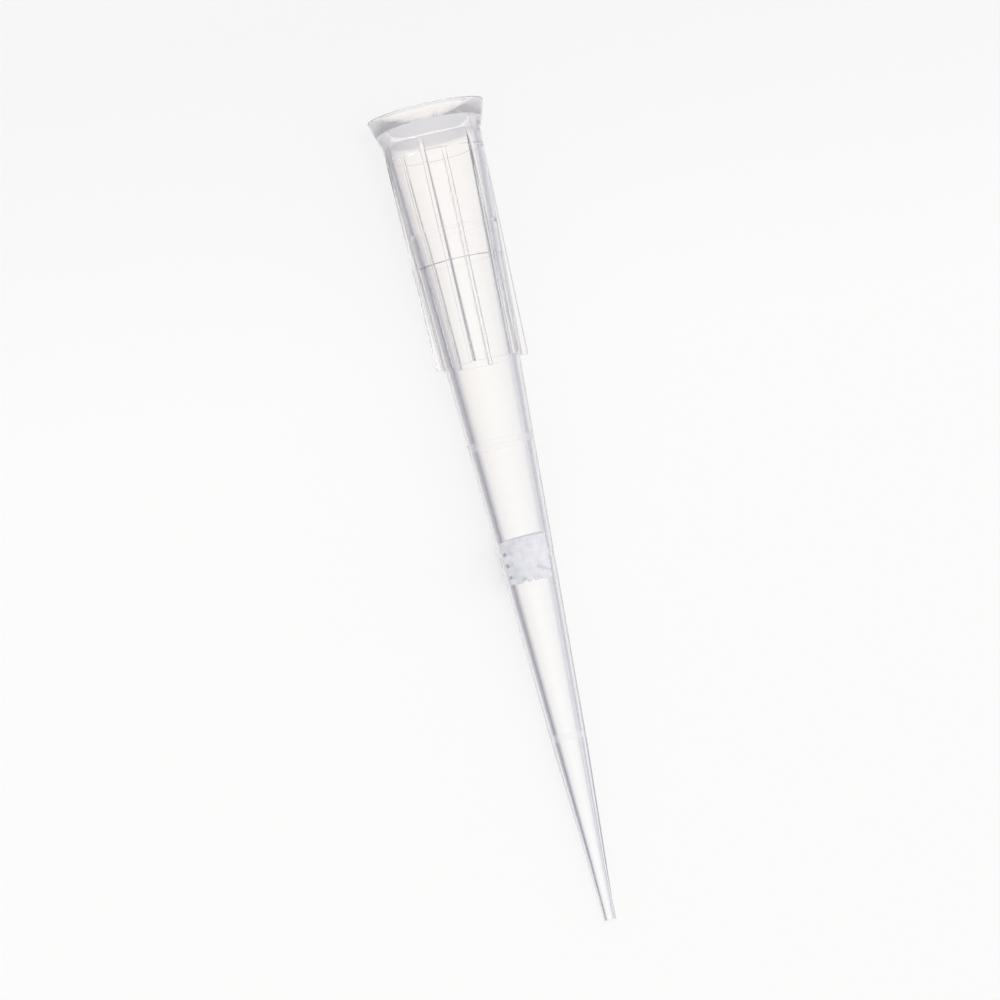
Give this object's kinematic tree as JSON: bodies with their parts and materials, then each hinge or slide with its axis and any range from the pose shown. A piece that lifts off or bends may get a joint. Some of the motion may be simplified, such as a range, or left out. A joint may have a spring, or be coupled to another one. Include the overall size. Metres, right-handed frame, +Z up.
{
  "type": "filter pipette tip",
  "caption": "Tapered laboratory pipette tip in clear polypropylene, with a flared and finned collar, frosted graduation rings and a porous plug in its bore.",
  "frame": {"origin": "on the surface that the tip lies on, under the middle of its bounding box", "axes": "+Z up from the surface, +X along the tip from its mouth towards its fine end, which lies 3.7 degrees lower than the mouth along the axis, +Y across it"},
  "size_m": [0.0526, 0.0076, 0.0076],
  "materials": {
    "clear_polypropylene": "clear, moulded in a polished tool, with frosted rings",
    "porous_polyethylene": "sintered, dull and grainy"
  },
  "bodies": {
    "root": {"tip_body": "clear_polypropylene", "filter_plug": "porous_polyethylene"}
  },
  "joints": []
}
